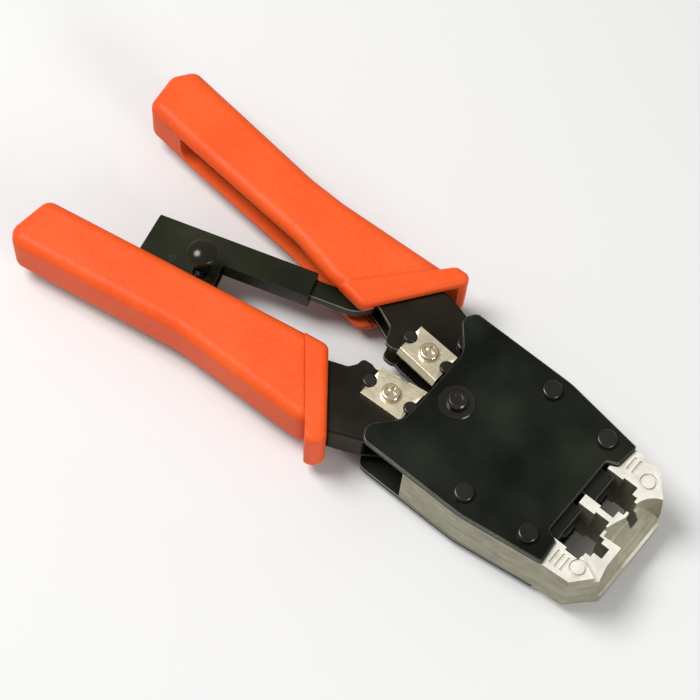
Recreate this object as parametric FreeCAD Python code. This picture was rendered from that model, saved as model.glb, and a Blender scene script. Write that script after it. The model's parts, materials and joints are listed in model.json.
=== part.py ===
"""Ratcheting crimping tool for modular plugs: one solid or group of solids per node, in millimetres.

Axes: X runs from the grips to the die nose, Y from the moving grip to the fixed grip, Z is the
thickness. The working frame has the handle pivot at its origin; everything is moved to the row
frame (centre of the underside of the whole tool) just before export.
"""
import FreeCAD
import Part
import math
import os

V = FreeCAD.Vector

# ---- driving dimensions, millimetres ----
PLATE_OUT = 10.2        # half thickness over the two head side plates
PLATE_T = 2.0           # side plate thickness
NOSE_HALF = 8.7         # half thickness of the exposed die nose
FRAME_HALF = 5.6        # half thickness over a handle frame
FRAME_T = 1.8           # handle frame sheet
BLADE_T = 1.8           # cutter blade
GRIP_HALF = 8.2         # half thickness of a grip
GUARD_RISE = 0.5        # how far the finger guard stands above the grip
SLOT_HALF = 4.9         # half height of the open slot along each grip's inner side
SEAM = 0.25             # width and depth of the groove behind each finger guard
HEAD_HALF_W = 24.6      # half width of the head
NOSE_X = 60.3           # front of the die nose
REAR_X = -126.8         # rear of the grips
PIVOT_R = 2.8           # pivot pin
PIVOT_HEAD = 2.5        # how far the pin stands above a side plate
BUSH_R = 4.4            # pivot bush of the moving handle
BOSS_R = 7.2            # rounded front end of the moving frame
RIVET_R = 2.0           # head rivet shank
RIVET_HEAD_R = 2.8
RIVET_HEAD_H = 1.6
RIVETS = [(17.2, 19.2), (17.2, -19.2), (36.8, 17.3), (36.8, -17.3)]
CLOSE_DEG = 15.0        # closing swing of the moving handle
EDGE_UP_DEG = 6.2       # fixed cutting edge, measured from the centre line
EDGE_LOW_DEG = CLOSE_DEG - EDGE_UP_DEG
BLADE_REAR = -22.4
BLADE_FRONT = -8.9
PIN_R = 1.85            # blade locating pin
SCREW_HEAD_R = 2.7
SCREW_R = 1.5
CAVITY_Y = 14.2         # half width of the ram's guide
CAVITY_X = 41.6         # front wall of the ram's guide
RAM_REAR = 20.2
RAM_FRONT = 38.2        # ram body front at rest
RAM_LIFT = 11.5         # ram travel per radian of handle swing
ROLLER_X = 15.5
ROLLER_R = 4.0
SOCKETS = {"8p": (-7.0, 6.0, 6.8, 5.3), "6p": (6.9, 4.85, 5.5, 3.2)}   # centre, half widths
STRUT_DEG = 18.0        # rest direction of the ratchet strut
BAR_HINGE = (-38.0, 16.0)
CHANNEL_HINGE = (-92.0, -25.5)
BAR_LOW, BAR_HIGH = 18.55, 24.05        # bar edges across the strut
TUBE_LOW, TUBE_HIGH, TUBE_T = 17.3, 25.3, 0.8
KNOB_U, KNOB_V = -79.9, 14.5
STRUT_TOP, STRUT_BOTTOM = 2.7, -3.3
BAR_TOP, BAR_BOTTOM = 1.2, -1.9

# ---- named clearances, millimetres ----
RUN = 0.05              # shaft in hole, radial
SLIDE = 0.2             # sliding faces
REST_GAP = 0.03         # each cutting edge from the line where they meet
SETBACK = 0.8           # frame edge behind the cutting edge
ARC_GAP = 0.5           # fixed frame around the moving boss
POCKET = 0.1            # grip pocket around its frame

PLATE_IN = PLATE_OUT - PLATE_T
FRAME_IN = FRAME_HALF - FRAME_T
BLADE_TOP = FRAME_HALF + BLADE_T
TAN_UP = math.tan(math.radians(EDGE_UP_DEG))
TAN_LOW = math.tan(math.radians(EDGE_LOW_DEG))


def outline(points):
    """Closed face in the XY plane; a third number on a point rounds that corner to that radius."""
    n = len(points)
    starts, ends, mids = [], [], []
    for i in range(n):
        p = V(points[i][0], points[i][1], 0)
        r = points[i][2] if len(points[i]) > 2 else 0
        a = V(points[i - 1][0], points[i - 1][1], 0) - p
        b = V(points[(i + 1) % n][0], points[(i + 1) % n][1], 0) - p
        if r <= 0 or a.getAngle(b) > math.pi - 0.01:
            starts.append(p)
            ends.append(p)
            mids.append(None)
            continue
        half = a.getAngle(b) / 2
        back = min(r / math.tan(half), 0.48 * a.Length, 0.48 * b.Length)
        r = back * math.tan(half)
        a.normalize()
        b.normalize()
        centre_dir = a + b
        centre_dir.normalize()
        centre = p + centre_dir * (r / math.sin(half))
        starts.append(p + a * back)
        ends.append(p + b * back)
        mids.append(centre - centre_dir * r)
    edges = []
    for i in range(n):
        if mids[i] is not None:
            edges.append(Part.Arc(starts[i], mids[i], ends[i]).toShape())
        nxt = starts[(i + 1) % n]
        if (nxt - ends[i]).Length > 1e-6:
            edges.append(Part.makeLine(ends[i], nxt))
    return Part.Face(Part.Wire(edges))


def prism(points, z0, z1):
    face = outline(points)
    face.translate(V(0, 0, z0))
    return face.extrude(V(0, 0, z1 - z0))


def rod(x, y, r, z0, z1):
    return Part.makeCylinder(r, z1 - z0, V(x, y, z0))


def box(x0, x1, y0, y1, z0, z1):
    return Part.makeBox(x1 - x0, y1 - y0, z1 - z0, V(x0, y0, z0))


def mirror_y(points):
    return [(p[0], -p[1]) + tuple(p[2:]) for p in reversed(points)]


def both_sides(points):
    """An outline that is the same on both sides of the centre line, given from front to rear at +Y."""
    return points + mirror_y(points)


def chamfered(shape, size, z_level):
    edges = [e for e in shape.Edges
             if abs(e.BoundBox.ZMin - z_level) < 1e-4 and abs(e.BoundBox.ZMax - z_level) < 1e-4]
    return shape.makeChamfer(size, edges)


def rounded(shape, size, keep):
    """Fillet the edges that the test keeps; a smaller radius is tried if the first one fails."""
    edges = [e for e in shape.Edges if keep(e)]
    for r in (size, size * 0.75, size * 0.5):
        try:
            out = shape.makeFillet(r, edges)
            if out.isValid() and out.Volume > 0:
                return out
        except Exception:
            continue
    return shape


def is_outer_edge(e, half):
    """True for an edge that lies flat in the top or the bottom face of a piece of that half thickness."""
    return abs(abs(e.BoundBox.Center.z) - half) < 1e-3 and e.BoundBox.ZLength < 1e-3


def beyond_plane(p1, p2, p3, outside):
    """A large block on the outer side of the plane through three points."""
    normal = (p2 - p1).cross(p3 - p1)
    normal.normalize()
    if normal.dot(outside - p1) < 0:
        normal = normal * -1
    plane = Part.Plane(p1, normal)
    face = Part.Face(Part.makePolygon([plane.value(s, t) for s, t in
                                       ((-60, -60), (60, -60), (60, 60), (-60, 60), (-60, -60))]))
    return face.extrude(normal * 60)


def strut_point(u, v):
    a = math.radians(STRUT_DEG)
    return (u * math.cos(a) - v * math.sin(a), u * math.sin(a) + v * math.cos(a))


def strut_prism(points, z0, z1):
    return prism([strut_point(p[0], p[1]) + tuple(p[2:]) for p in points], z0, z1)


def coil(radius, wire, pitch, turns, place):
    """A close row of round wire rings, one for each turn of a spring."""
    rings = [Part.makeTorus(radius, wire, V(0, 0, pitch * (i + 0.5))) for i in range(turns)]
    spring = Part.makeCompound(rings)
    spring.Placement = place
    return spring


def domed(x, y, r, h, z, up):
    """Low domed rivet head of radius r and height h standing on the level z, towards up."""
    straight = h * 0.55
    head = Part.makeCylinder(r, h, V(x, y, z), V(0, 0, up))
    edge = [e for e in head.Edges
            if abs(e.BoundBox.ZMin - (z + up * h)) < 1e-6 and abs(e.BoundBox.ZMax - (z + up * h)) < 1e-6]
    return head.makeFillet(h - straight, edge)


def through_rivet(x, y, r, head_r, head_h, z):
    body = rod(x, y, r, -z, z)
    heads = [domed(x, y, head_r, head_h, z, 1), domed(x, y, head_r, head_h, -z, -1)]
    return body.fuse(heads).removeSplitter()


CROSS_ARM, CROSS_HALF, CROSS_DEEP = 1.65, 0.45, 1.0    # recess in a screw head


def pan_screw(x, y, z_seat, z_end):
    head = domed(x, y, SCREW_HEAD_R, 1.6, z_seat, 1)
    body = head.fuse(rod(x, y, SCREW_R, z_end, z_seat)).removeSplitter()
    top = z_seat + 1.6
    for a, b in ((CROSS_ARM, CROSS_HALF), (CROSS_HALF, CROSS_ARM)):
        body = body.cut(box(x - a, x + a, y - b, y + b, top - CROSS_DEEP, top + 1))
    return body


nodes = {}

# ---- head: two side plates, die body, rivets, pivot ----
plate_edge = both_sides([
    (40.4, 12.4, 0.8), (43.4, 13.9, 1.0), (44.2, 21.1, 0.8), (20.0, HEAD_HALF_W, 20),
    (-12.4, HEAD_HALF_W, 2.5), (-14.6, 20.6, 3.0), (-7.7, 12.6, 7.0)])
plate_holes = [rod(0, 0, PIVOT_R, -20, 20)] + [rod(x, y, RIVET_R, -20, 20) for x, y in RIVETS]
for name, z0, z1 in (("side_plate_top", PLATE_IN, PLATE_OUT), ("side_plate_bottom", -PLATE_OUT, -PLATE_IN)):
    plate = prism(plate_edge, z0, z1)
    plate = chamfered(plate, 0.3, z1 if z1 > 0 else z0)
    nodes[name] = plate.cut(Part.makeCompound(plate_holes))

body_edge = both_sides([(1.3, HEAD_HALF_W - 0.2), (20.0, HEAD_HALF_W - 0.2, 20), (44.1, 21.0), (53.2, 20.3),
                        (NOSE_X, 12.9)][::-1])
nose_edge = both_sides([(62, 23), (44.5, 23), (44.5, 21.5), (43.7, 13.8), (40.7, 12.2)])
die = prism(body_edge, -PLATE_IN, PLATE_IN)
die = die.fuse(prism(body_edge, -NOSE_HALF, NOSE_HALF).common(prism(nose_edge, -NOSE_HALF, NOSE_HALF)))
die = die.removeSplitter()
die = die.cut(box(-5, CAVITY_X, -CAVITY_Y, CAVITY_Y, -20, 20))
for side in (1, -1):
    die = die.cut(beyond_plane(V(53.1, 19.9 * side, NOSE_HALF), V(57.8, 14.4 * side, NOSE_HALF),
                               V(NOSE_X, 13.1 * side, -2), V(80, 40 * side, 0)))
die = die.cut(beyond_plane(V(58.5, 0, NOSE_HALF), V(58.5, 1, NOSE_HALF), V(NOSE_X, 0, -2), V(90, 0, 0)))
SHOULDER_1, SHOULDER_2, SHOULDER_3 = 47.6, 51.0, 53.4
for centre, near, wide, mid in SOCKETS.values():
    die = die.cut(box(CAVITY_X - 1, SHOULDER_1, centre - near, centre + near, -20, 20))
    die = die.cut(box(SHOULDER_1 - 1, SHOULDER_2, centre - wide, centre + wide, -20, 20))
    step = min(mid, 3.1)
    die = die.cut(box(SHOULDER_2 - 1, SHOULDER_2 + 1.6, centre - step, centre + step, -20, 20))
LATCH_HALF = 1.7
die = die.cut(box(SHOULDER_2, 55.2, SOCKETS["8p"][0] - LATCH_HALF, SOCKETS["8p"][0] + LATCH_HALF, -20, 20))
die = die.cut(box(SHOULDER_2, 55.6, SOCKETS["6p"][0] - LATCH_HALF, SOCKETS["6p"][0] + LATCH_HALF, -20, 20))
LEDGE_Z = 6.2           # top of the lower wall in front of the wide socket
die = die.cut(prism([(50.8, -1.75), (54.5, -1.75), (62, -3.9), (62, -16.8), (57.2, -15.2), (51.2, -12.4),
                     (50.8, -12.4)], LEDGE_Z, 12))
SCOOP_FLOOR = -4.0
scoop_a = Part.Face(Part.Wire([
    Part.Arc(V(51.4, -1.75, 0), V(52.3, 0.9, 0), V(53.4, 3.6, 0)).toShape(),
    Part.makeLine(V(53.4, 3.6, 0), V(53.4, 8.6, 0)),
    Part.Arc(V(53.4, 8.6, 0), V(54.9, 11.8, 0), V(58.2, 14.1, 0)).toShape(),
    Part.makeLine(V(58.2, 14.1, 0), V(66, 14.1, 0)),
    Part.makeLine(V(66, 14.1, 0), V(66, -8.5, 0)),
    Part.makeLine(V(66, -8.5, 0), V(60.2, -8.5, 0)),
    Part.makeLine(V(60.2, -8.5, 0), V(57.3, -3.0, 0)),
    Part.makeLine(V(57.3, -3.0, 0), V(51.6, -3.3, 0)),
    Part.makeLine(V(51.6, -3.3, 0), V(51.4, -1.75, 0))]))
scoop_a.translate(V(0, 0, SCOOP_FLOOR))
scoop_sweep = Part.makeCylinder(16.3, 80, V(69.7, -40, NOSE_HALF), V(0, 1, 0))
scoop_sweep = scoop_sweep.fuse(Part.makeCylinder(6.0, 80, V(57.3, -40, NOSE_HALF), V(0, 1, 0)))
scoop_a = scoop_a.extrude(V(0, 0, 16)).common(scoop_sweep)
scoop_b = prism([(57.3, -3.02), (66, -3.02), (66, -17), (59.6, -17), (58.2, -13.4, 3), (57.2, -8.5, 4)],
                SCOOP_FLOOR, 12)
scoop_b = scoop_b.common(Part.makeCylinder(38, 80, V(95.3, -40, NOSE_HALF), V(0, 1, 0)))
die = die.cut(scoop_a).cut(scoop_b)
LUG_HALF = FRAME_IN - RUN
lug = prism([(3, 14.2), (3, 21.4), (-13.4, 21.4, 2), (-13.4, 12.9, 3), (-3, 12.9, 2), (1.0, 14.2)],
            -LUG_HALF, LUG_HALF)
die = die.fuse(lug).removeSplitter()
MARK = 0.4              # depth of the sunk marks that tell the sockets apart: a ring and a row of bars
MARK_BAR, MARK_PITCH = 0.9, 1.7
for side, bars in ((1, 2), (-1, 3)):
    die = die.cut(rod(52.2, 15.6 * side, 2.4, NOSE_HALF - MARK, 12).cut(rod(52.2, 15.6 * side, 1.8, 0, 12)))
    for i in range(bars):
        x = 45.3 + MARK_PITCH * i
        bar_mark = [(x, 14.8 * side, 0.4), (x + MARK_BAR, 14.8 * side, 0.4),
                    (x + MARK_BAR, 19.2 * side, 0.4), (x, 19.2 * side, 0.4)]
        die = die.cut(prism(bar_mark[::side], NOSE_HALF - MARK, 12))
FRAME_PINS = [(-9.9, 16.8), (-1.6, 18.0)]
die = die.cut(Part.makeCompound(plate_holes + [rod(x, y, RIVET_R, -20, 20) for x, y in FRAME_PINS]))
nodes["die_body"] = die

nodes["head_rivets"] = Part.makeCompound([
    through_rivet(x, y, RIVET_R, RIVET_HEAD_R, RIVET_HEAD_H, PLATE_OUT) for x, y in RIVETS])
WASHER_T = 0.5
WASHER_R = 5.1
washer = rod(0, 0, WASHER_R, PLATE_OUT, PLATE_OUT + WASHER_T)
washer = chamfered(washer, 0.25, PLATE_OUT + WASHER_T).cut(rod(0, 0, PIVOT_R, 0, 20))
nodes["pivot_washers"] = Part.makeCompound([washer, washer.mirror(V(0, 0, 0), V(0, 0, 1))])
pin_end = PLATE_OUT + PIVOT_HEAD
DIMPLE, DIMPLE_R = 0.35, 1.3      # hollow in each end of the pivot pin
pivot = rod(0, 0, PIVOT_R, -pin_end, pin_end)
pivot = pivot.makeChamfer(0.5, [e for e in pivot.Edges if abs(abs(e.BoundBox.Center.z) - pin_end) < 1e-4
                                and e.BoundBox.ZLength < 1e-4])
for z0, z1 in ((pin_end - DIMPLE, pin_end + 1), (-pin_end - 1, -pin_end + DIMPLE)):
    pivot = pivot.cut(rod(0, 0, DIMPLE_R, z0, z1))
nodes["pivot_pin"] = pivot
spacer = rod(0, 0, BUSH_R, FRAME_HALF + RUN, PLATE_IN).cut(rod(0, 0, PIVOT_R, 0, 20))
nodes["pivot_spacers"] = Part.makeCompound([spacer, spacer.mirror(V(0, 0, 0), V(0, 0, 1))])


# ---- handle frames: folded channels, open towards the middle of the tool ----
def channel_frame(edge, web_line, web_end):
    """Two plates joined by a web that follows the outer side."""
    plates = [prism(edge, FRAME_IN, FRAME_HALF), prism(edge, -FRAME_HALF, -FRAME_IN)]
    web = prism(web_line + web_end, -FRAME_IN, FRAME_IN)
    return plates[0].fuse([plates[1], web]).removeSplitter()


def under_blade(x, sign):
    slope = TAN_UP if sign > 0 else TAN_LOW
    return sign * (slope * abs(x) + SETBACK)


FRAME_REAR = -112.0
fixed_outer = [(0.9, 23.4), (-12.5, 23.4, 6), (-21.0, 26.0, 6), (-62.0, 25.0, 30), (-72.0, 25.0, 30),
               (FRAME_REAR, 28.8)]
fixed_inner = [(FRAME_REAR, 18.8), (-72.0, 15.6, 20), (-50.0, 13.4, 20), (-34.7, 10.3, 2),
               (-28.9, 7.9, 2.5), (-27.7, 5.6, 2), (-27.2, 3.15, 1.6), (-24.4, 3.0, 1.2),
               (-22.9, under_blade(-22.9, 1) + 0.3, 1.5), (-20.9, under_blade(-20.9, 1)),
               (-7.9, under_blade(-7.9, 1)), (0.9, 7.0)]
moving_outer = [(-5.0, -17.4, 2), (-13.1, -23.2, 8), (-23.0, -27.6, 8), (-57.0, -28.4, 30),
                (-72.0, -28.8, 30), (FRAME_REAR, -35.2)]
moving_inner = [(FRAME_REAR, -25.6), (-72.0, -18.4, 20), (-40.0, -12.6, 8), (-34.7, -10.9, 2),
                (-29.9, -9.0, 2.5), (-28.4, -6.8, 2), (-28.2, -4.55, 1.6), (-25.4, -4.25, 1.4),
                (-23.7, under_blade(-23.7, -1) - 0.3, 1.5), (-21.5, under_blade(-21.5, -1)),
                (-5.5, under_blade(-5.5, -1))]


def shifted(points, dy):
    return [(p[0], p[1] + dy) + tuple(p[2:]) for p in points]


fixed = channel_frame(fixed_outer + fixed_inner, fixed_outer, shifted(fixed_outer, -FRAME_T)[::-1])
fixed = fixed.cut(rod(0, 0, BOSS_R + ARC_GAP, -20, 20))
moving = channel_frame(moving_outer + moving_inner + [(-2.0, -1.0), (3.5, -6.2), (1.0, -11.0, 4)],
                       moving_outer[1:], shifted(moving_outer[1:], FRAME_T)[::-1])
boss = rod(0, 0, BOSS_R, FRAME_IN, FRAME_HALF).fuse(rod(0, 0, BOSS_R, -FRAME_HALF, -FRAME_IN))
moving = moving.fuse(boss).removeSplitter()
UP_PINS = [(-22.3, 8.2), (-9.0, 7.4)]
LOW_PINS = [(-22.4, -9.1), (-8.9, -8.3)]
UP_SCREW = (-15.4, 7.6)
LOW_SCREW = (-15.6, -8.5)
fixed = fixed.cut(Part.makeCompound(
    [rod(x, y, PIN_R, -20, 20) for x, y in UP_PINS] + [rod(*UP_SCREW, SCREW_R, -20, 20)]
    + [rod(x, y, RIVET_R, -20, 20) for x, y in FRAME_PINS] + [rod(*BAR_HINGE, 1.5, -20, 20)]))
moving = moving.cut(Part.makeCompound(
    [rod(x, y, PIN_R, -20, 20) for x, y in LOW_PINS] + [rod(*LOW_SCREW, SCREW_R, -20, 20)]
    + [rod(0, 0, BUSH_R, -20, 20), rod(*CHANNEL_HINGE, 1.5, -20, 20)]))
FOLD_ROUND = 0.9        # outer rounding of a fold in frame sheet
nodes["fixed_frame"] = rounded(fixed, FOLD_ROUND, lambda e: is_outer_edge(e, FRAME_HALF) and (
    e.BoundBox.YMin > 22.5))
nodes["moving_frame"] = rounded(moving, FOLD_ROUND, lambda e: is_outer_edge(e, FRAME_HALF) and (
    e.BoundBox.YMax < -22.0 and e.BoundBox.XMax < -12.0 and abs(e.BoundBox.Center.x + 112) > 1))
bush = rod(0, 0, BUSH_R, -FRAME_HALF, FRAME_HALF).cut(rod(0, 0, PIVOT_R + RUN, -20, 20))
nodes["pivot_bush"] = bush
nodes["fixed_frame_rivets"] = Part.makeCompound([
    through_rivet(FRAME_PINS[0][0], FRAME_PINS[0][1], RIVET_R, 2.5, 1.5, FRAME_HALF),
    through_rivet(FRAME_PINS[1][0], FRAME_PINS[1][1], RIVET_R, 2.5, 1.5, FRAME_HALF)])

# ---- cutter blades, their screws, nuts and locating pins ----
up_edge = [(BLADE_REAR, TAN_UP * -BLADE_REAR + REST_GAP), (BLADE_FRONT, TAN_UP * -BLADE_FRONT + REST_GAP),
           (-8.6, 11.7), (-22.0, 12.6)]
low_edge = [(BLADE_REAR, -TAN_LOW * -BLADE_REAR - REST_GAP), (-22.1, -13.5), (-8.9, -12.9),
            (-8.5, -TAN_LOW * 8.5 - REST_GAP)]
blade_up = prism(up_edge, FRAME_HALF, BLADE_TOP)
blade_low = prism(low_edge, FRAME_HALF, BLADE_TOP)
BEVEL_W, BEVEL_D = 1.5, 1.2
bevel = beyond_plane(V(BLADE_REAR, TAN_UP * -BLADE_REAR + BEVEL_W, BLADE_TOP),
                     V(BLADE_FRONT, TAN_UP * -BLADE_FRONT + BEVEL_W, BLADE_TOP),
                     V(BLADE_REAR, TAN_UP * -BLADE_REAR, BLADE_TOP - BEVEL_D), V(-15, 0, 20))
blade_up = blade_up.cut(bevel)
lip = prism([(BLADE_REAR - 1, -TAN_LOW * (1 - BLADE_REAR) - 1.5), (-7, -TAN_LOW * 7 - 1.5), (-7, 2),
             (BLADE_REAR - 1, 2)], BLADE_TOP - 0.7, 12)
blade_low = blade_low.cut(lip)
STRIP_DENT = rod(-15.6, -TAN_LOW * 15.6 + 0.9, 1.7, 0, 12)
blade_low = blade_low.cut(STRIP_DENT)
blade_up = blade_up.cut(Part.makeCompound([rod(x, y, PIN_R + 0.15, 0, 12) for x, y in UP_PINS]
                                          + [rod(*UP_SCREW, SCREW_R + RUN, 0, 12)]))
blade_low = blade_low.cut(Part.makeCompound([rod(x, y, PIN_R + 0.15, 0, 12) for x, y in LOW_PINS]
                                            + [rod(*LOW_SCREW, SCREW_R + RUN, 0, 12)]))
nodes["fixed_blade"] = blade_up
nodes["moving_blade"] = blade_low
NUT_H, NUT_R = 2.2, 2.9
for name, pins, screw in (("fixed", UP_PINS, UP_SCREW), ("moving", LOW_PINS, LOW_SCREW)):
    heads = []
    for x, y in pins:
        shank = rod(x, y, PIN_R, -FRAME_HALF, BLADE_TOP - 0.3)
        heads.append(shank.fuse(domed(x, y, PIN_R, 0.8, BLADE_TOP - 0.3, 1)).removeSplitter())
    nodes[name + "_blade_pins"] = Part.makeCompound(heads)
    nodes[name + "_blade_screw"] = pan_screw(screw[0], screw[1], BLADE_TOP, -FRAME_HALF - NUT_H)
    hexagon = [(screw[0] + NUT_R * math.cos(math.radians(turn)),
                screw[1] + NUT_R * math.sin(math.radians(turn))) for turn in range(0, 360, 60)]
    nut = prism(hexagon, -FRAME_HALF - NUT_H, -FRAME_HALF)
    nodes[name + "_blade_nut"] = nut.cut(rod(screw[0], screw[1], SCREW_R, -20, 20))

# ---- grips: thick sleeves with a raised finger guard, open along the inner side and at the mouth ----
fixed_grip_edge = [
    (-38.6, 7.2, 3.6), (-22.3, 30.9, 3.6), (-63.2, 28.8, 30), (-74.4, 29.1, 30), (-122.6, 34.4, 3.6),
    (REAR_X, 28.4, 4), (-125.0, 16.4, 3.6), (-106.4, 14.5, 25), (-64.4, 11.0, 25), (-51.4, 8.1, 20)]
fixed_guard = [(-37.0, 25.0, 3), (-27.9, 33.3, 3), (-18.5, 33.7, 3.4), (-37.9, 6.3, 2.8),
               (-57.0, 8.9, 3), (-54.0, 19.0, 4)]
FIXED_SEAM = [(-47.2, 7.4), (-28.4, 29.4)]      # rear edge of the guard, inner and outer end
moving_grip_edge = [
    (-39.2, -9.3, 3.6), (-43.8, -8.9, 8), (-72.4, -14.3, 30), (-125.7, -24.3, 3.6), (REAR_X, -37.4, 3.6),
    (-123.9, -41.0, 3.6), (-72.4, -31.8, 30), (-57.4, -31.3, 30), (-23.6, -30.4, 3.6)]
moving_guard = [(-62.0, -12.0, 3), (-37.4, -8.3, 2.6), (-19.7, -30.5, 3), (-22.8, -34.3, 3),
                (-27.6, -33.0, 3), (-38.0, -25.0, 3), (-58.0, -22.0, 3)]
MOVING_SEAM = [(-45.2, -8.9), (-27.3, -30.3)]
GRIP_ROUND = 3.2        # rounding along the edges of a grip
GUARD_ROUND = 1.9       # rounding along the edges of a finger guard
GUARD_HALF = GRIP_HALF + GUARD_RISE


def offset_face(points, amount):
    wire = outline(points).OuterWire
    return Part.Face(wire.makeOffset2D(amount))


SLOT_REAR = -111.8


def slot_side():
    """The slot as seen from its side, square at the top and swept up towards its closed rear end."""
    face = outline([(SLOT_REAR, SLOT_HALF, 1.0), (SLOT_REAR, -SLOT_HALF, 6.5),
                    (0, -SLOT_HALF), (0, SLOT_HALF)])
    face.rotate(V(0, 0, 0), V(1, 0, 0), 90)
    face.translate(V(0, -60, 0))
    return face.extrude(V(0, 120, 0))


def seam_strips(inner, outer):
    """A narrow strip just behind the rear edge of a guard, and all the ground in front of that edge."""
    along = V(outer[0] - inner[0], outer[1] - inner[1], 0)
    along.normalize()
    rear = V(-along.y, along.x, 0)
    if rear.x > 0:
        rear = rear * -1
    strip = [inner, outer, (outer[0] + rear.x * SEAM, outer[1] + rear.y * SEAM),
             (inner[0] + rear.x * SEAM, inner[1] + rear.y * SEAM)]
    past_inner = (inner[0] - 8 * along.x, inner[1] - 8 * along.y)
    past_outer = (outer[0] + 12 * along.x, outer[1] + 12 * along.y)
    return strip, [past_inner, past_outer, (0, past_outer[1]), (0, past_inner[1])]


def grip(edge, guard_edge, seam, frame_edge, slot_edge, mouth_edge):
    sleeve = prism(edge, -GRIP_HALF, GRIP_HALF)
    sleeve = rounded(sleeve, GRIP_ROUND, lambda e: is_outer_edge(e, GRIP_HALF))
    strip, front = seam_strips(*seam)
    guard = prism(guard_edge, -GUARD_HALF, GUARD_HALF)
    guard = rounded(guard, GUARD_ROUND, lambda e: is_outer_edge(e, GUARD_HALF)).common(prism(front, -20, 20))
    skin = sleeve.cut(prism(edge, -GRIP_HALF + SEAM, GRIP_HALF - SEAM))
    sleeve = sleeve.cut(skin.common(prism(strip, -20, 20))).fuse(guard)
    pocket = offset_face(frame_edge, POCKET)
    pocket.translate(V(0, 0, -FRAME_HALF - POCKET / 2))
    sleeve = sleeve.cut(pocket.extrude(V(0, 0, 2 * FRAME_HALF + POCKET)))
    sleeve = sleeve.cut(prism(slot_edge, -SLOT_HALF, SLOT_HALF).common(slot_side()))
    return sleeve.cut(prism(mouth_edge, -GRIP_HALF + 1.9, GRIP_HALF - 1.9))


nodes["fixed_grip"] = grip(
    fixed_grip_edge, fixed_guard, FIXED_SEAM,
    fixed_outer + fixed_inner,
    [(SLOT_REAR, 10.0), (SLOT_REAR, 20.0), (-100.0, 24.0), (-20.0, 22.5), (-8.0, 15.0), (-8.0, 2.0),
     (-60.0, 2.0), (-100.0, 8.0)],
    [(-46.5, 10.6, 2), (-33.8, 25.8, 2), (-21.7, 29.1), (-10.0, 32.0), (-10.0, 8.9), (-34.0, 8.9, 1)])
nodes["moving_grip"] = grip(
    moving_grip_edge, moving_guard, MOVING_SEAM,
    moving_outer + moving_inner + [(-2.0, -1.0), (1.0, -11.0)],
    [(SLOT_REAR, -18.0), (-38.0, -6.0), (-15.0, -6.0), (-15.0, -22.0), (-30.0, -24.5), (-72.0, -25.0),
     (SLOT_REAR, -30.0)],
    [(-45.0, -13.6, 2), (-38.0, -10.8, 1), (-20.0, -10.8), (-12.0, -25.0), (-21.8, -28.6, 1),
     (-36.0, -28.6, 2)])

# ---- cam on the moving handle, ram, roller, punches ----
CAM_LOW, CAM_HIGH = -1.6, 3.4
cam_points = []
for deg in (-9.0, 7.5, 24.0):
    a = math.radians(deg)
    c = ROLLER_X + RAM_LIFT * a
    tangent = V(RAM_LIFT * math.cos(a) - c * math.sin(a), RAM_LIFT * math.sin(a) + c * math.cos(a), 0)
    tangent.normalize()
    inward = V(-tangent.y, tangent.x, 0)
    cam_points.append(V(c * math.cos(a), c * math.sin(a), 0) + inward * (ROLLER_R + 0.08))
low_root = V(BUSH_R * math.cos(-1.2), BUSH_R * math.sin(-1.2), 0)
high_root = V(BUSH_R * math.cos(1.7), BUSH_R * math.sin(1.7), 0)
rear = V(-BUSH_R, 0, 0)
cam_face = Part.Face(Part.Wire([
    Part.makeLine(low_root, cam_points[0]),
    Part.Arc(cam_points[0], cam_points[1], cam_points[2]).toShape(),
    Part.makeLine(cam_points[2], high_root),
    Part.makeLine(high_root, rear),
    Part.makeLine(rear, low_root)]))
cam_face.translate(V(0, 0, CAM_LOW))
cam = cam_face.extrude(V(0, 0, CAM_HIGH - CAM_LOW)).fuse(rod(0, 0, BUSH_R + 2.2, CAM_LOW, CAM_HIGH))
nodes["ram_cam"] = cam.removeSplitter().cut(rod(0, 0, BUSH_R, -20, 20))

RAM_HALF = PLATE_IN - SLIDE
ram = box(RAM_REAR, RAM_FRONT, -CAVITY_Y + SLIDE, CAVITY_Y - SLIDE, -RAM_HALF, RAM_HALF)
CHEEK_IN = 3.9
for z0, z1 in ((CHEEK_IN, RAM_HALF), (-RAM_HALF, -CHEEK_IN)):
    ram = ram.fuse(prism([(RAM_REAR + 1, -6), (RAM_REAR + 1, 6), (13.5, 6, 2), (10.6, 2.5, 2),
                          (10.6, -2.5, 2), (13.5, -6, 2)], z0, z1))
NOSE_FRONT = {"8p": 43.3, "6p": 44.4}
for key, (centre, near, wide, mid) in SOCKETS.items():
    ram = ram.fuse(box(RAM_FRONT - 1, NOSE_FRONT[key], centre - near + 0.4, centre + near - 0.4, -7.2, 7.2))
ram = ram.removeSplitter()
ROLLER_PIN_R = 1.6
ram = ram.cut(rod(ROLLER_X, 0, ROLLER_PIN_R, -20, 20))
SPRING_Y, SPRING_R = 0.5, 1.0
ram = ram.cut(Part.makeCylinder(1.6, 8, V(RAM_FRONT - 8, SPRING_Y, 0), V(1, 0, 0)))
nodes["ram_block"] = ram
nodes["roller_pin"] = rod(ROLLER_X, 0, ROLLER_PIN_R, -RAM_HALF, RAM_HALF)
nodes["cam_roller"] = rod(ROLLER_X, 0, ROLLER_R, -CHEEK_IN + 0.2, CHEEK_IN - 0.2).cut(
    rod(ROLLER_X, 0, ROLLER_PIN_R + RUN, -20, 20))
CONTACT_PITCH, CONTACT_W = 1.02, 0.5
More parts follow.
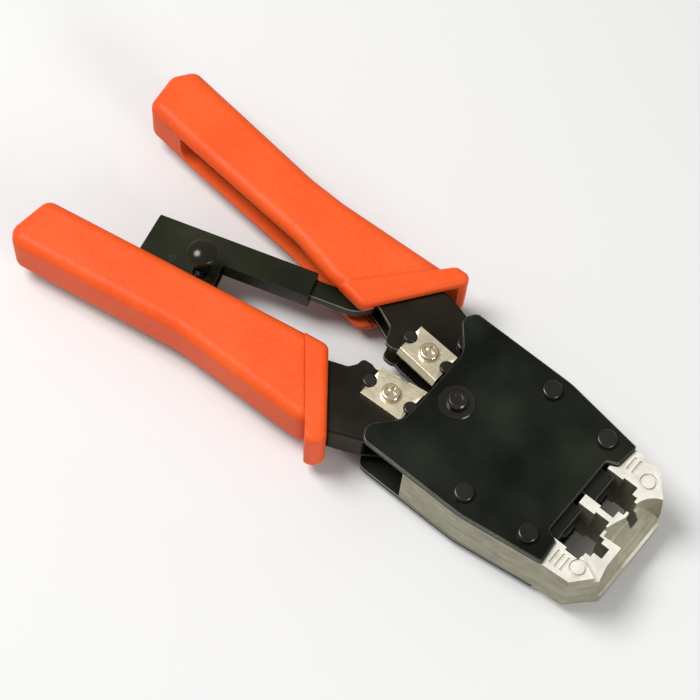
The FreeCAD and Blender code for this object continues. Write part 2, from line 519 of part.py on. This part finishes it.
for key, count in (("8p", 8), ("6p", 6)):
    centre = SOCKETS[key][0]
    x = NOSE_FRONT[key]
    half = CONTACT_PITCH * (count - 1) / 2
    comb = box(x, x + 0.4, centre - half - 0.5, centre + half + 0.5, -5.5, -1.5)
    for i in range(count):
        y = centre - half + CONTACT_PITCH * i
        comb = comb.fuse(box(x, x + 0.9, y - CONTACT_W / 2, y + CONTACT_W / 2, -5.5, -1.5))
    nodes["contact_punch_" + key] = comb.removeSplitter()
nodes["cord_clamp_bars"] = Part.makeCompound([
    prism([(NOSE_FRONT[key], SOCKETS[key][0] - 2.4), (NOSE_FRONT[key] + 0.8, SOCKETS[key][0] - 1.8),
           (NOSE_FRONT[key] + 0.8, SOCKETS[key][0] + 1.8), (NOSE_FRONT[key], SOCKETS[key][0] + 2.4)],
          3.0, 5.0)
    for key in ("8p", "6p")])
nodes["ram_spring"] = coil(SPRING_R, 0.25, 0.9, 8, FreeCAD.Placement(
    V(CAVITY_X - 0.35, SPRING_Y, 0), FreeCAD.Rotation(V(0, 1, 0), -90)))
nodes["handle_spring"] = coil(5.6, 0.4, 0.9, 2, FreeCAD.Placement(V(0, 0, -3.6), FreeCAD.Rotation()))

# ---- ratchet strut: toothed bar on the fixed frame, folded sleeve on the moving frame ----
bar = strut_prism([(-88.0, BAR_LOW, 1), (-35.5, BAR_LOW, 9), (-25.9, 27.2, 3), (-26.4, 32.2, 4.5),
                   (-36.0, 32.2, 4.5), (-36.6, BAR_HIGH, 2), (-88.0, BAR_HIGH, 1)], BAR_BOTTOM, BAR_TOP)
TOOTH = 0.7
for i in range(8):
    u = -86.0 + 1.8 * i
    bar = bar.cut(strut_prism([(u, BAR_LOW - 0.1), (u + 1.5, BAR_LOW - 0.1), (u, BAR_LOW + TOOTH)],
                              BAR_BOTTOM - 1, BAR_TOP + 1))
bar = bar.cut(rod(*BAR_HINGE, 1.5 + RUN, -20, 20))
nodes["ratchet_bar"] = bar
sleeve_plan = [(-49.6, TUBE_HIGH), (-97.3, TUBE_HIGH, 0.8), (-98.4, 12.0, 2), (-99.2, 7.0, 3),
               (-99.0, 0.6, 3.2), (-92.4, 0.6, 3.2), (-75.0, 10.2, 2), (-75.0, TUBE_LOW),
               (-49.6, TUBE_LOW)]
sleeve = strut_prism(sleeve_plan, STRUT_TOP - 1.0, STRUT_TOP)
sleeve = sleeve.fuse([
    strut_prism(sleeve_plan, STRUT_BOTTOM, STRUT_BOTTOM + 1.0),
    strut_prism([(-97.3, TUBE_HIGH - TUBE_T), (-49.6, TUBE_HIGH - TUBE_T), (-49.6, TUBE_HIGH),
                 (-97.3, TUBE_HIGH, 0.8)], STRUT_BOTTOM, STRUT_TOP),
    strut_prism([(-75.0, TUBE_LOW), (-49.6, TUBE_LOW), (-49.6, TUBE_LOW + TUBE_T),
                 (-75.0, TUBE_LOW + TUBE_T)], STRUT_BOTTOM, STRUT_TOP)]).removeSplitter()
STEM_R = 1.6
sleeve = sleeve.cut(rod(*CHANNEL_HINGE, 1.5 + RUN, -20, 20))
PAWL_U, PAWL_V = -89.0, 13.6
pawl_at = strut_point(PAWL_U, PAWL_V)
knob_at = strut_point(KNOB_U, KNOB_V)
sleeve = sleeve.cut(rod(*pawl_at, 1.2, -20, 20))
sleeve = sleeve.cut(strut_prism([(KNOB_U - 2.1, KNOB_V - 3.6, 1.6), (KNOB_U + 2.1, KNOB_V - 3.6, 1.6),
                                 (KNOB_U + 2.1, KNOB_V + 2.1, 1.8), (KNOB_U - 2.1, KNOB_V + 2.1, 1.8)],
                                0.5, 6))
nodes["ratchet_sleeve"] = sleeve
pawl = strut_prism([(-91.0, 11.4, 1.8), (KNOB_U + 2.2, KNOB_V - 2.2, 1.6), (KNOB_U + 2.6, BAR_LOW - 0.6),
                    (KNOB_U + 0.2, BAR_LOW - 1.3), (-90.8, 15.8, 1.8)], BAR_BOTTOM, BAR_TOP)
nodes["pawl"] = pawl.cut(rod(*pawl_at, 1.2 + RUN, -20, 20)).cut(rod(*knob_at, STEM_R, -20, 20))
nodes["pawl_pin"] = rod(*pawl_at, 1.2, STRUT_BOTTOM, STRUT_TOP)
KNOB_R = 4.05
KNOB_LOW, KNOB_RIM, KNOB_TOP = 10.6, 11.7, 13.2       # underside, top of the rim and top of the dome
STEM_COLLAR_R = 2.1
knob = rod(*knob_at, STEM_R, BAR_BOTTOM, KNOB_LOW)
knob = knob.fuse(rod(*knob_at, STEM_COLLAR_R, STRUT_TOP + 0.3, KNOB_LOW))
dome_h = KNOB_TOP - KNOB_RIM
dome_r = (KNOB_R ** 2 + dome_h ** 2) / (2 * dome_h)
dome = Part.makeSphere(dome_r, V(knob_at[0], knob_at[1], KNOB_TOP - dome_r)).common(
    rod(*knob_at, KNOB_R, KNOB_LOW, KNOB_TOP + 1))
for height, radius in ((KNOB_RIM, 0.5), (KNOB_LOW, 0.4)):
    dome = rounded(dome, radius, lambda e: e.BoundBox.ZLength < 1e-3 and (
        abs(e.BoundBox.Center.z - height) < 1e-3))
knob = knob.fuse(dome).removeSplitter()
for i in range(12):
    a = math.radians(30 * i)
    x = knob_at[0] + (STEM_COLLAR_R + 0.1) * math.cos(a)
    y = knob_at[1] + (STEM_COLLAR_R + 0.1) * math.sin(a)
    knob = knob.cut(rod(x, y, 0.28, STRUT_TOP + 0.3, KNOB_LOW - 0.4))
nodes["release_knob"] = knob
nodes["bar_pin"] = rod(*BAR_HINGE, 1.5, -FRAME_HALF, FRAME_HALF)
nodes["sleeve_pin"] = rod(*CHANNEL_HINGE, 1.5, -FRAME_HALF, FRAME_HALF)
nodes["pawl_spring"] = coil(1.75, 0.18, 0.5, 1, FreeCAD.Placement(
    V(pawl_at[0], pawl_at[1], BAR_TOP), FreeCAD.Rotation()))

# ---- to the row frame and out ----
whole = Part.makeCompound(list(nodes.values())).BoundBox
shift = V(-whole.Center.x, -whole.Center.y, -whole.ZMin)
os.makedirs("parts", exist_ok=True)
for name, shape in nodes.items():
    moved = shape.copy()
    moved.translate(shift)
    moved.exportStep("parts/%s.step" % name)
print("nodes", len(nodes), "pivot at", round(shift.x, 4), round(shift.y, 4), round(shift.z, 4))
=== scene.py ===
"""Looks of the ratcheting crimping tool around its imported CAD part."""
import json
import math

import bmesh
import bpy
from mathutils import Matrix, Vector


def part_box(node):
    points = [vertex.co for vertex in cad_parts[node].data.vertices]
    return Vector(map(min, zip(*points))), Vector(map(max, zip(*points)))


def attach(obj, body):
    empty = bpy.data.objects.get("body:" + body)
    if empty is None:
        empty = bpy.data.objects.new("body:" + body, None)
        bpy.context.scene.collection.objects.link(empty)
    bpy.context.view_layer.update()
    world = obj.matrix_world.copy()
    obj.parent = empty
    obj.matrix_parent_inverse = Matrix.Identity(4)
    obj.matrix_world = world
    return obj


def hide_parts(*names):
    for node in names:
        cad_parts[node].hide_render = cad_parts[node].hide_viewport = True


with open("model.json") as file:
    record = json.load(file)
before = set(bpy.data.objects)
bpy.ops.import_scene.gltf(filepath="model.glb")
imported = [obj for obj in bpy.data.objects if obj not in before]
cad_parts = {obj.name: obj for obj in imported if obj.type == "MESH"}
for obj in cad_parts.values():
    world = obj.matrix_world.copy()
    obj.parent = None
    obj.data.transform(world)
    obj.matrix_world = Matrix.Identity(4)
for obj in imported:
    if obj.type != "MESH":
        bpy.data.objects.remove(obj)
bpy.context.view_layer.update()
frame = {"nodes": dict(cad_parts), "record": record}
NODES = frame["nodes"]

pin_low, pin_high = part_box("pivot_pin")
PIVOT = (pin_low + pin_high) / 2
MM = 0.001


def at(x, y, z):
    """A point given in millimetres from the handle pivot, in the shared frame."""
    return PIVOT + Vector((x, y, z)) * MM


# ---- shader groups ----
def new_group(name, inputs, outputs):
    tree = bpy.data.node_groups.new(name, "ShaderNodeTree")
    for label, kind, value in inputs:
        socket = tree.interface.new_socket(name=label, in_out="INPUT", socket_type=kind)
        socket.default_value = value
    for label, kind in outputs:
        tree.interface.new_socket(name=label, in_out="OUTPUT", socket_type=kind)
    return tree, tree.nodes.new("NodeGroupInput"), tree.nodes.new("NodeGroupOutput")


def add(tree, kind, **values):
    """A node with its properties and unlinked sockets set by name."""
    node = tree.nodes.new(kind)
    for key, value in values.items():
        if hasattr(node, key):
            setattr(node, key, value)
        else:
            node.inputs[key.replace("_", " ")].default_value = value
    return node


def noise(tree, vector, scale, detail=2.0, rough=0.5):
    node = add(tree, "ShaderNodeTexNoise", Scale=scale, Detail=detail, Roughness=rough)
    tree.links.new(vector, node.inputs["Vector"])
    return node.outputs["Fac"]


def stretched(tree, vector, factors):
    node = add(tree, "ShaderNodeMapping", Scale=factors)
    tree.links.new(vector, node.inputs["Vector"])
    return node.outputs["Vector"]


def spread(tree, value, low, high, to_low=0.0, to_high=1.0):
    """The value stretched from low..high to to_low..to_high and held inside it."""
    node = add(tree, "ShaderNodeMapRange", clamp=True)
    tree.links.new(value, node.inputs["Value"])
    ends = {"From Min": low, "From Max": high, "To Min": to_low, "To Max": to_high}
    for key, number in ends.items():
        if isinstance(number, (int, float)):
            node.inputs[key].default_value = number
        else:
            tree.links.new(number, node.inputs[key])
    return node.outputs["Result"]


def maths(tree, operation, a, b=None):
    node = add(tree, "ShaderNodeMath", operation=operation)
    for i, value in enumerate((a, b)):
        if value is None:
            continue
        if isinstance(value, (int, float)):
            node.inputs[i].default_value = value
        else:
            tree.links.new(value, node.inputs[i])
    return node.outputs[0]


def times(tree, a, b):
    return maths(tree, "MULTIPLY", a, b)


def plus(tree, a, b):
    return maths(tree, "ADD", a, b)


def mixed(tree, factor, a, b):
    node = add(tree, "ShaderNodeMix", data_type="RGBA")
    for i, value in ((0, factor), (6, a), (7, b)):
        if hasattr(value, "is_linked") or hasattr(value, "links"):
            tree.links.new(value, node.inputs[i])
        else:
            node.inputs[i].default_value = value
    return node.outputs[2]


def grain_group():
    """Fine pebble of a moulded plastic, with slow drift in colour."""
    tree, gin, gout = new_group(
        "Moulded grain",
        [("Vector", "NodeSocketVector", (0, 0, 0)), ("Base", "NodeSocketColor", (0.69, 0.068, 0.007, 1)),
         ("Worn", "NodeSocketColor", (0.76, 0.11, 0.018, 1)), ("Grain Scale", "NodeSocketFloat", 1900.0),
         ("Rough Low", "NodeSocketFloat", 0.42), ("Rough High", "NodeSocketFloat", 0.6)],
        [("Colour", "NodeSocketColor"), ("Roughness", "NodeSocketFloat"), ("Height", "NodeSocketFloat")])
    vector = gin.outputs["Vector"]
    fine = add(tree, "ShaderNodeTexNoise", Detail=3.0, Roughness=0.6)
    tree.links.new(vector, fine.inputs["Vector"])
    tree.links.new(gin.outputs["Grain Scale"], fine.inputs["Scale"])
    drift = noise(tree, vector, 60.0, 3.0)
    speck = noise(tree, vector, 900.0, 2.0)
    blend = plus(tree, times(tree, spread(tree, drift, 0.35, 0.7), 0.45),
                 times(tree, spread(tree, speck, 0.4, 0.75), 0.35))
    tree.links.new(mixed(tree, blend, gin.outputs["Base"], gin.outputs["Worn"]), gout.inputs["Colour"])
    rough = spread(tree, fine.outputs["Fac"], 0.3, 0.7, gin.outputs["Rough Low"], gin.outputs["Rough High"])
    tree.links.new(rough, gout.inputs["Roughness"])
    tree.links.new(fine.outputs["Fac"], gout.inputs["Height"])
    return tree


def enamel_group():
    """Black satin coat on pressed sheet: cloudy tone, rub marks, bright metal along edges where the coat
    wears, and a painted highlight that puts more of that bright metal on the edges facing -Y.
    """
    tree, gin, gout = new_group(
        "Blackened sheet",
        [("Vector", "NodeSocketVector", (0, 0, 0)), ("Edge Mask", "NodeSocketFloat", 0.0),
         ("Dark", "NodeSocketColor", (0.002, 0.003, 0.0015, 1)),
         ("Light", "NodeSocketColor", (0.013, 0.017, 0.009, 1)),
         ("Edge", "NodeSocketColor", (0.62, 0.6, 0.52, 1)), ("Edge Wear", "NodeSocketFloat", 0.9),
         ("Rough Low", "NodeSocketFloat", 0.26), ("Rough High", "NodeSocketFloat", 0.46)],
        [("Colour", "NodeSocketColor"), ("Roughness", "NodeSocketFloat"), ("Metal", "NodeSocketFloat"),
         ("Height", "NodeSocketFloat")])
    vector = gin.outputs["Vector"]
    cloud = noise(tree, vector, 48.0, 3.0, 0.5)
    fine = noise(tree, vector, 1500.0, 3.0, 0.6)
    sides = tree.nodes.new("ShaderNodeSeparateXYZ")
    tree.links.new(tree.nodes.new("ShaderNodeTexCoord").outputs["Normal"], sides.inputs[0])
    # Painted highlight: edges whose normal faces -Y get more bright metal, standing in for light reflected
    # off the edges on that side.
    painted_highlight_side = spread(tree, times(tree, sides.outputs["Y"], -1.0), 0.1, 0.8, 0.12, 1.0)
    rub = noise(tree, stretched(tree, vector, (1.0, 6.0, 6.0)), 420.0, 3.0, 0.7)
    speck = noise(tree, vector, 700.0, 2.0, 0.5)
    patchy_highlight = times(tree, spread(tree, cloud, 0.36, 0.5, 0.5, 1.0), painted_highlight_side)
    # Bright edge metal: partly real wear, partly painted highlight on the -Y facing edges.
    wear_and_highlight = times(tree, times(tree, gin.outputs["Edge Mask"], patchy_highlight), gin.outputs["Edge Wear"])
    tone = plus(tree, times(tree, spread(tree, cloud, 0.35, 0.75), 0.8),
                plus(tree, times(tree, spread(tree, rub, 0.6, 0.85), 0.15),
                     times(tree, spread(tree, speck, 0.72, 0.76), 0.35)))
    coat = mixed(tree, tone, gin.outputs["Dark"], gin.outputs["Light"])
    tree.links.new(mixed(tree, wear_and_highlight, coat, gin.outputs["Edge"]), gout.inputs["Colour"])
    grain = plus(tree, times(tree, cloud, 0.85), times(tree, fine, 0.15))
    tree.links.new(spread(tree, grain, 0.35, 0.65, gin.outputs["Rough Low"], gin.outputs["Rough High"]),
                   gout.inputs["Roughness"])
    tree.links.new(wear_and_highlight, gout.inputs["Metal"])
    tree.links.new(plus(tree, times(tree, fine, 0.25), cloud), gout.inputs["Height"])
    return tree


def casting_group():
    """Blasted die casting: pale on the faces that look up or down, lined and darker on the sides; the pale
    faces are partly the ground finish and partly painted light, the darker sides partly painted shade.
    """
    tree, gin, gout = new_group(
        "Blasted casting",
        [("Vector", "NodeSocketVector", (0, 0, 0)), ("Face", "NodeSocketColor", (0.78, 0.76, 0.68, 1)),
         ("Side", "NodeSocketColor", (0.42, 0.40, 0.28, 1))],
        [("Colour", "NodeSocketColor"), ("Roughness", "NodeSocketFloat"), ("Metal", "NodeSocketFloat"),
         ("Height", "NodeSocketFloat")])
    vector = gin.outputs["Vector"]
    geometry = tree.nodes.new("ShaderNodeNewGeometry")
    parts = tree.nodes.new("ShaderNodeSeparateXYZ")
    tree.links.new(geometry.outputs["Normal"], parts.inputs[0])
    # Painted light and shade: faces whose normal is near vertical take the pale face colour and the sides
    # the darker side colour.
    flat = spread(tree, maths(tree, "ABSOLUTE", parts.outputs["Z"]), 0.8, 0.97)
    blast = noise(tree, vector, 2400.0, 4.0, 0.65)
    cloud = noise(tree, vector, 220.0, 4.0, 0.6)
    lines = noise(tree, stretched(tree, vector, (0.05, 0.05, 1.6)), 1500.0, 2.0, 0.6)
    shade = plus(tree, times(tree, spread(tree, lines, 0.35, 0.7), 0.5),
                 times(tree, spread(tree, cloud, 0.35, 0.7), 0.5))
    side = mixed(tree, shade, (0.22, 0.21, 0.155, 1), gin.outputs["Side"])
    face = mixed(tree, spread(tree, cloud, 0.35, 0.72), (0.58, 0.56, 0.49, 1), gin.outputs["Face"])
    tree.links.new(mixed(tree, flat, side, face), gout.inputs["Colour"])
    tree.links.new(spread(tree, blast, 0.3, 0.7, 0.38, 0.62), gout.inputs["Roughness"])
    tree.links.new(spread(tree, flat, 0.0, 1.0, 0.75, 0.15), gout.inputs["Metal"])
    tree.links.new(plus(tree, blast, times(tree, lines, 0.5)), gout.inputs["Height"])
    return tree


def steel_group():
    """Ground or turned steel: streaks along one direction, cloudy tint."""
    tree, gin, gout = new_group(
        "Ground steel",
        [("Vector", "NodeSocketVector", (0, 0, 0)), ("Bright", "NodeSocketColor", (0.85, 0.77, 0.58, 1)),
         ("Dull", "NodeSocketColor", (0.62, 0.55, 0.39, 1)), ("Rough Low", "NodeSocketFloat", 0.25),
         ("Rough High", "NodeSocketFloat", 0.42)],
        [("Colour", "NodeSocketColor"), ("Roughness", "NodeSocketFloat"), ("Height", "NodeSocketFloat")])
    vector = gin.outputs["Vector"]
    streak = noise(tree, stretched(tree, vector, (1.0, 14.0, 14.0)), 500.0, 4.0, 0.6)
    cloud = noise(tree, vector, 300.0, 3.0, 0.6)
    both = plus(tree, times(tree, spread(tree, streak, 0.3, 0.7), 0.6),
                times(tree, spread(tree, cloud, 0.35, 0.7), 0.4))
    tree.links.new(mixed(tree, both, gin.outputs["Dull"], gin.outputs["Bright"]), gout.inputs["Colour"])
    tree.links.new(spread(tree, both, 0.2, 0.8, gin.outputs["Rough High"], gin.outputs["Rough Low"]),
                   gout.inputs["Roughness"])
    tree.links.new(streak, gout.inputs["Height"])
    return tree


GRAIN, ENAMEL, CASTING, STEEL = grain_group(), enamel_group(), casting_group(), steel_group()


def surface(name, group, bump, shader=None, **values):
    """A Principled material fed by a shader group.

    bump is a strength and a distance in millimetres, shader holds uniform values of the Principled
    shader, and values are the group's own sockets.
    """
    material = bpy.data.materials.new(name)
    material.use_nodes = True
    tree = material.node_tree
    principled = tree.nodes["Principled BSDF"]
    place = tree.nodes.new("ShaderNodeTexCoord")
    effect = tree.nodes.new("ShaderNodeGroup")
    effect.node_tree = group
    tree.links.new(place.outputs["Object"], effect.inputs["Vector"])
    if "Edge Mask" in effect.inputs:
        edge = tree.nodes.new("ShaderNodeAttribute")
        edge.attribute_name = "edge"
        tree.links.new(edge.outputs["Fac"], effect.inputs["Edge Mask"])
    for key, value in values.items():
        effect.inputs[key.replace("_", " ")].default_value = value
    tree.links.new(effect.outputs["Colour"], principled.inputs["Base Color"])
    tree.links.new(effect.outputs["Roughness"], principled.inputs["Roughness"])
    if "Metal" in effect.outputs:
        tree.links.new(effect.outputs["Metal"], principled.inputs["Metallic"])
    relief = add(tree, "ShaderNodeBump", Strength=bump[0], Distance=bump[1] * MM)
    tree.links.new(effect.outputs["Height"], relief.inputs["Height"])
    tree.links.new(relief.outputs["Normal"], principled.inputs["Normal"])
    for key, value in (shader or {}).items():
        principled.inputs[key].default_value = value
    return material


def dress(material, *names):
    """Give frame pieces that keep their own mesh a finish."""
    for name in names:
        mesh = NODES[name].data
        mesh.materials.clear()
        mesh.materials.append(material)


BODIES = frame["record"]["behaviour"]["bodies"]
BODY_OF = {node: body for body, nodes in BODIES.items() for node in nodes}


MERGE = 2e-6                        # metres: vertices closer than this are one
FLAT_ANGLE = math.radians(0.6)      # faces that meet more gently than this are joined
SHARP_ANGLE = math.radians(32)      # edges sharper than this are rounded
CREASE_ANGLE = math.radians(50)     # edges sharper than this stay creased in the shading


def eased(material, ease, *names):
    """Stand a copy with rounded edges in for each named frame piece; ease is in millimetres.

    The rounded faces carry an edge value of 1, which the enamel group turns into bright bare metal and
    painted highlight.
    """
    for name in names:
        form = bmesh.new()
        form.from_mesh(NODES[name].data)
        bmesh.ops.remove_doubles(form, verts=form.verts, dist=MERGE)
        bmesh.ops.dissolve_limit(form, angle_limit=FLAT_ANGLE, verts=form.verts, edges=form.edges)
        edge_layer = form.faces.layers.float.new("edge")
        sharp = [edge for edge in form.edges
                 if len(edge.link_faces) == 2 and edge.calc_face_angle(0.0) > SHARP_ANGLE]
        rounded = bmesh.ops.bevel(form, geom=sharp, offset=ease * MM, offset_type="OFFSET", segments=2,
                                  profile=0.5, affect="EDGES", clamp_overlap=True, material=-1)
        for face in rounded["faces"]:
            face[edge_layer] = 1.0
        bmesh.ops.triangulate(form, faces=[f for f in form.faces if len(f.verts) > 4])
        for face in form.faces:
            face.smooth = True
        for edge in form.edges:
            if len(edge.link_faces) == 2 and edge.calc_face_angle(0.0) > CREASE_ANGLE:
                edge.smooth = False
        mesh = bpy.data.meshes.new(name + "_eased")
        form.to_mesh(mesh)
        form.free()
        mesh.materials.append(material)
        piece = bpy.data.objects.new(name + "_eased", mesh)
        bpy.context.scene.collection.objects.link(piece)
        flat = piece.modifiers.new("Flat faces", "WEIGHTED_NORMAL")
        flat.keep_sharp = True
        flat.weight = 100
        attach(piece, BODY_OF[name])
        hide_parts(name)


def grip_finish():
    dress(surface("Orange grip plastic", GRAIN, (0.4, 0.04), shader={"Specular IOR Level": 0.22}),
          "fixed_grip", "moving_grip")


def sheet_finishes():
    """Blackened sheet of the head plates, the handle frames and the ratchet strut."""
    satin = {"Specular IOR Level": 0.16}
    plates = surface("Black plate enamel", ENAMEL, (0.3, 0.03), shader=satin)
    eased(plates, 0.12, "side_plate_top", "side_plate_bottom")
    frames = surface("Blackened frame steel", ENAMEL, (0.3, 0.03), shader=satin,
                     Dark=(0.0045, 0.0034, 0.0011, 1), Light=(0.014, 0.011, 0.004, 1), Edge_Wear=0.9)
    eased(frames, 0.22, "fixed_frame", "moving_frame")
    strut = surface("Olive black strut enamel", ENAMEL, (0.3, 0.03), shader=satin,
                    Dark=(0.007, 0.008, 0.003, 1), Light=(0.020, 0.021, 0.009, 1), Edge_Wear=0.6,
                    Rough_Low=0.26, Rough_High=0.36)
    eased(strut, 0.4, "ratchet_sleeve", "ratchet_bar")


def oxide_finishes():
    """Black and brown oxide on the turned and machined steel pieces."""
    oxide = surface("Black oxide steel", ENAMEL, (0.2, 0.01), shader={"Specular IOR Level": 0.45},
                    Dark=(0.004, 0.004, 0.004, 1), Light=(0.010, 0.009, 0.008, 1), Edge_Wear=0.3,
                    Rough_Low=0.2, Rough_High=0.32)
    brown = surface("Brown oxide pins", ENAMEL, (0.2, 0.01), shader={"Specular IOR Level": 0.5},
                    Dark=(0.006, 0.004, 0.003, 1), Light=(0.018, 0.011, 0.008, 1), Edge_Wear=0.1,
                    Rough_Low=0.2, Rough_High=0.3)
    eased(brown, 0.1, "pivot_pin", "fixed_blade_pins", "moving_blade_pins")
    # The ram's bright edges are part real wear, part painted highlight on the edges facing -Y.
    rubbed_and_highlit = surface("Black oxide rubbed at the edges", ENAMEL, (0.2, 0.01),
                     shader={"Specular IOR Level": 0.4}, Dark=(0.003, 0.003, 0.003, 1),
                     Light=(0.009, 0.009, 0.008, 1), Edge_Wear=1.0, Rough_Low=0.16, Rough_High=0.3)
    eased(rubbed_and_highlit, 0.2, "ram_block")
    dress(oxide, "head_rivets", "pivot_washers", "pivot_spacers", "fixed_frame_rivets", "bar_pin",
          "sleeve_pin", "pawl", "pawl_pin", "pivot_bush", "ram_cam", "contact_punch_8p",
          "contact_punch_6p", "cord_clamp_bars")
    knob = surface("Polished black knob", ENAMEL, (0.1, 0.01), shader={"Specular IOR Level": 0.3},
                   Dark=(0.005, 0.005, 0.002, 1), Light=(0.013, 0.012, 0.006, 1), Edge_Wear=0.0,
                   Rough_Low=0.14, Rough_High=0.22)
    dress(knob, "release_knob")


def bright_finishes():
    """Cast die, ground blades, plated screws, and the bare springs and roller."""
    eased(surface("Blasted die casting", CASTING, (0.3, 0.02)), 0.15, "die_body")
    blade = surface("Ground blade steel", STEEL, (0.06, 0.01), shader={"Metallic": 1.0})
    eased(blade, 0.06, "fixed_blade", "moving_blade")
    screw = surface("Nickel plated screw", STEEL, (0.1, 0.01), shader={"Metallic": 1.0},
                    Bright=(0.9, 0.82, 0.62, 1), Dull=(0.75, 0.66, 0.46, 1), Rough_Low=0.14,
                    Rough_High=0.24)
    dress(screw, "fixed_blade_screw", "moving_blade_screw", "fixed_blade_nut", "moving_blade_nut")
    spring = surface("Bright spring steel", STEEL, (0.1, 0.01), shader={"Metallic": 1.0},
                     Bright=(0.6, 0.6, 0.6, 1), Dull=(0.4, 0.4, 0.4, 1))
    dress(spring, "ram_spring", "handle_spring", "pawl_spring", "cam_roller", "roller_pin")


grip_finish()
sheet_finishes()
oxide_finishes()
bright_finishes()

# ---- floor, light and camera ----
FLOOR_HALF = 3.0        # metres
FLOOR_GREY = 0.66
floor_mesh = bpy.data.meshes.new("Floor")
sheet = bmesh.new()
bmesh.ops.create_grid(sheet, x_segments=1, y_segments=1, size=FLOOR_HALF)
sheet.to_mesh(floor_mesh)
sheet.free()
floor = bpy.data.objects.new("Floor", floor_mesh)
bpy.context.scene.collection.objects.link(floor)
floor_finish = bpy.data.materials.new("Pale floor")
floor_finish.use_nodes = True
floor_shader = floor_finish.node_tree.nodes["Principled BSDF"]
floor_shader.inputs["Base Color"].default_value = (FLOOR_GREY, FLOOR_GREY, FLOOR_GREY, 1)
floor_shader.inputs["Roughness"].default_value = 0.9
floor_mesh.materials.append(floor_finish)


def lamp(name, place, size, power):
    """A round soft lamp that points at the middle of the tool."""
    data = bpy.data.lights.new(name, "AREA")
    data.shape = "DISK"
    data.size = size
    data.energy = power
    lamp_object = bpy.data.objects.new(name, data)
    bpy.context.scene.collection.objects.link(lamp_object)
    lamp_object.location = place
    lamp_object.rotation_euler = (-Vector(place)).to_track_quat("-Z", "Y").to_euler()


lamp("Soft key", (-0.42, -0.16, 0.85), 0.45, 9.0)
lamp("Front fill", (0.75, -0.1, 0.3), 0.35, 3.2)
world = bpy.data.worlds.new("Studio air")
world.use_nodes = True
air = world.node_tree.nodes["Background"]
air.inputs["Color"].default_value = (1.0, 0.985, 0.95, 1)
air.inputs["Strength"].default_value = 0.40
bpy.context.scene.world = world
bpy.context.scene.view_settings.view_transform = "Standard"

AZIMUTH, ELEVATION, ROLL = (math.radians(a) for a in (33.73, 64.38, 6.43))
TARGET = at(-34.12, -2.67, 0.0)
DISTANCE = 548.1 * MM
LENS = 102.86
back = Vector((math.sin(AZIMUTH) * math.cos(ELEVATION), -math.cos(AZIMUTH) * math.cos(ELEVATION),
               math.sin(ELEVATION)))
level = (-back).cross(Vector((0, 0, 1))).normalized()
upright = level.cross(-back)
right = level * math.cos(ROLL) + upright * math.sin(ROLL)
up = upright * math.cos(ROLL) - level * math.sin(ROLL)
camera_data = bpy.data.cameras.new("Studio camera")
camera_data.sensor_width = 36.0
camera_data.lens = LENS
camera_data.clip_start = 0.01
camera = bpy.data.objects.new("Studio camera", camera_data)
bpy.context.scene.collection.objects.link(camera)
camera.matrix_world = Matrix((
    (right.x, up.x, back.x, TARGET.x + back.x * DISTANCE),
    (right.y, up.y, back.y, TARGET.y + back.y * DISTANCE),
    (right.z, up.z, back.z, TARGET.z + back.z * DISTANCE),
    (0, 0, 0, 1)))
bpy.context.scene.camera = camera
